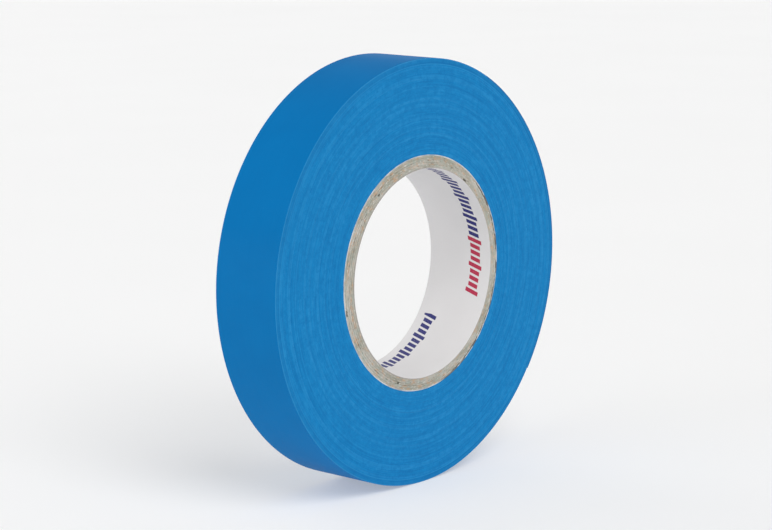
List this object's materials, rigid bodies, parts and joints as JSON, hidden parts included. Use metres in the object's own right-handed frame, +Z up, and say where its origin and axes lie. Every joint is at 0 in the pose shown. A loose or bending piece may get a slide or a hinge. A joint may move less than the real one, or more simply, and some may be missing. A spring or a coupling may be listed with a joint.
{
  "type": "electrical tape roll",
  "caption": "Roll of blue PVC electrical tape on a wound cardboard core, standing on its rim, with a loose end that peels away.",
  "frame": {"origin": "on the surface that the roll stands on, straight under the middle of the roll", "axes": "+Z up, +Y along the roll's axis from its front face to its back face, +X to the right as the front face is seen"},
  "size_m": [0.083, 0.015, 0.083],
  "materials": {
    "wound_tape": "satin edges of wound PVC tape",
    "tape_film": "satin PVC film",
    "greyboard": "cut grey-brown board",
    "wrap_paper": "thin pale paper",
    "liner_paper": "smooth white paper"
  },
  "bodies": {
    "roll": {"core_liner": "liner_paper", "core_ply_1": "greyboard", "core_ply_2": "greyboard", "core_ply_3": "greyboard", "core_ply_4": "greyboard", "core_ply_5": "greyboard", "core_wrap": "wrap_paper", "wound_tape": "wound_tape"},
    "end_1": {"tape_end_1": "tape_film"},
    "end_2": {"tape_end_2": "tape_film"},
    "end_3": {"tape_end_3": "tape_film"},
    "end_4": {"tape_end_4": "tape_film"},
    "end_5": {"tape_end_5": "tape_film"},
    "end_6": {"tape_end_6": "tape_film"},
    "end_7": {"tape_end_7": "tape_film"},
    "end_8": {"tape_end_8": "tape_film"},
    "end_9": {"tape_end_9": "tape_film"},
    "end_10": {"tape_end_10": "tape_film"},
    "end_11": {"tape_end_11": "tape_film"},
    "end_12": {"tape_end_12": "tape_film"},
    "end_13": {"tape_end_13": "tape_film"},
    "end_14": {"tape_end_14": "tape_film"},
    "end_15": {"tape_end_15": "tape_film"},
    "end_16": {"tape_end_16": "tape_film"},
    "end_17": {"tape_end_17": "tape_film"},
    "end_18": {"tape_end_18": "tape_film"},
    "end_19": {"tape_end_19": "tape_film"},
    "end_20": {"tape_end_20": "tape_film"},
    "end_21": {"tape_end_21": "tape_film"},
    "end_22": {"tape_end_22": "tape_film"},
    "end_23": {"tape_end_23": "tape_film"},
    "end_24": {"tape_end_24": "tape_film"}
  },
  "joints": [
    {"name": "peel_1", "type": "hinge", "parent": "roll", "child": "end_1", "pos_m": [0.02075, 0, 0.07745], "axis": [0, -1, 0], "range_deg": [0, 7.5]},
    {"name": "peel_2", "type": "hinge", "parent": "end_1", "child": "end_2", "pos_m": [0.02321, 0, 0.07591], "axis": [0, -1, 0], "range_deg": [0, 7.5]},
    {"name": "peel_3", "type": "hinge", "parent": "end_2", "child": "end_3", "pos_m": [0.02555, 0, 0.07421], "axis": [0, -1, 0], "range_deg": [0, 7.5]},
    {"name": "peel_4", "type": "hinge", "parent": "end_3", "child": "end_4", "pos_m": [0.02777, 0, 0.07235], "axis": [0, -1, 0], "range_deg": [0, 7.5]},
    {"name": "peel_5", "type": "hinge", "parent": "end_4", "child": "end_5", "pos_m": [0.02986, 0, 0.07034], "axis": [0, -1, 0], "range_deg": [0, 7.5]},
    {"name": "peel_6", "type": "hinge", "parent": "end_5", "child": "end_6", "pos_m": [0.03179, 0, 0.06818], "axis": [0, -1, 0], "range_deg": [0, 7.5]},
    {"name": "peel_7", "type": "hinge", "parent": "end_6", "child": "end_7", "pos_m": [0.03358, 0, 0.0659], "axis": [0, -1, 0], "range_deg": [0, 7.5]},
    {"name": "peel_8", "type": "hinge", "parent": "end_7", "child": "end_8", "pos_m": [0.0352, 0, 0.0635], "axis": [0, -1, 0], "range_deg": [0, 7.5]},
    {"name": "peel_9", "type": "hinge", "parent": "end_8", "child": "end_9", "pos_m": [0.03665, 0, 0.06099], "axis": [0, -1, 0], "range_deg": [0, 7.5]},
    {"name": "peel_10", "type": "hinge", "parent": "end_9", "child": "end_10", "pos_m": [0.03792, 0, 0.05839], "axis": [0, -1, 0], "range_deg": [0, 7.5]},
    {"name": "peel_11", "type": "hinge", "parent": "end_10", "child": "end_11", "pos_m": [0.039, 0, 0.0557], "axis": [0, -1, 0], "range_deg": [0, 7.5]},
    {"name": "peel_12", "type": "hinge", "parent": "end_11", "child": "end_12", "pos_m": [0.0399, 0, 0.05295], "axis": [0, -1, 0], "range_deg": [0, 7.5]},
    {"name": "peel_13", "type": "hinge", "parent": "end_12", "child": "end_13", "pos_m": [0.0406, 0, 0.05013], "axis": [0, -1, 0], "range_deg": [0, 7.5]},
    {"name": "peel_14", "type": "hinge", "parent": "end_13", "child": "end_14", "pos_m": [0.0411, 0, 0.04728], "axis": [0, -1, 0], "range_deg": [0, 7.5]},
    {"name": "peel_15", "type": "hinge", "parent": "end_14", "child": "end_15", "pos_m": [0.0414, 0, 0.0444], "axis": [0, -1, 0], "range_deg": [0, 7.5]},
    {"name": "peel_16", "type": "hinge", "parent": "end_15", "child": "end_16", "pos_m": [0.04151, 0, 0.04151], "axis": [0, -1, 0], "range_deg": [0, 7.5]},
    {"name": "peel_17", "type": "hinge", "parent": "end_16", "child": "end_17", "pos_m": [0.0414, 0, 0.03861], "axis": [0, -1, 0], "range_deg": [0, 7.5]},
    {"name": "peel_18", "type": "hinge", "parent": "end_17", "child": "end_18", "pos_m": [0.0411, 0, 0.03573], "axis": [0, -1, 0], "range_deg": [0, 7.5]},
    {"name": "peel_19", "type": "hinge", "parent": "end_18", "child": "end_19", "pos_m": [0.0406, 0, 0.03288], "axis": [0, -1, 0], "range_deg": [0, 7.5]},
    {"name": "peel_20", "type": "hinge", "parent": "end_19", "child": "end_20", "pos_m": [0.0399, 0, 0.03006], "axis": [0, -1, 0], "range_deg": [0, 7.5]},
    {"name": "peel_21", "type": "hinge", "parent": "end_20", "child": "end_21", "pos_m": [0.039, 0, 0.02731], "axis": [0, -1, 0], "range_deg": [0, 7.5]},
    {"name": "peel_22", "type": "hinge", "parent": "end_21", "child": "end_22", "pos_m": [0.03792, 0, 0.02462], "axis": [0, -1, 0], "range_deg": [0, 7.5]},
    {"name": "peel_23", "type": "hinge", "parent": "end_22", "child": "end_23", "pos_m": [0.03665, 0, 0.02202], "axis": [0, -1, 0], "range_deg": [0, 7.5]},
    {"name": "peel_24", "type": "hinge", "parent": "end_23", "child": "end_24", "pos_m": [0.0352, 0, 0.01951], "axis": [0, -1, 0], "range_deg": [0, 7.5]}
  ],
  "couplings": [
    {"joint": "peel_2", "follows": "peel_1", "ratio": 1},
    {"joint": "peel_3", "follows": "peel_1", "ratio": 1},
    {"joint": "peel_4", "follows": "peel_1", "ratio": 1},
    {"joint": "peel_5", "follows": "peel_1", "ratio": 1},
    {"joint": "peel_6", "follows": "peel_1", "ratio": 1},
    {"joint": "peel_7", "follows": "peel_1", "ratio": 1},
    {"joint": "peel_8", "follows": "peel_1", "ratio": 1},
    {"joint": "peel_9", "follows": "peel_1", "ratio": 1},
    {"joint": "peel_10", "follows": "peel_1", "ratio": 1},
    {"joint": "peel_11", "follows": "peel_1", "ratio": 1},
    {"joint": "peel_12", "follows": "peel_1", "ratio": 1},
    {"joint": "peel_13", "follows": "peel_1", "ratio": 1},
    {"joint": "peel_14", "follows": "peel_1", "ratio": 1},
    {"joint": "peel_15", "follows": "peel_1", "ratio": 1},
    {"joint": "peel_16", "follows": "peel_1", "ratio": 1},
    {"joint": "peel_17", "follows": "peel_1", "ratio": 1},
    {"joint": "peel_18", "follows": "peel_1", "ratio": 1},
    {"joint": "peel_19", "follows": "peel_1", "ratio": 1},
    {"joint": "peel_20", "follows": "peel_1", "ratio": 1},
    {"joint": "peel_21", "follows": "peel_1", "ratio": 1},
    {"joint": "peel_22", "follows": "peel_1", "ratio": 1},
    {"joint": "peel_23", "follows": "peel_1", "ratio": 1},
    {"joint": "peel_24", "follows": "peel_1", "ratio": 1}
  ]
}
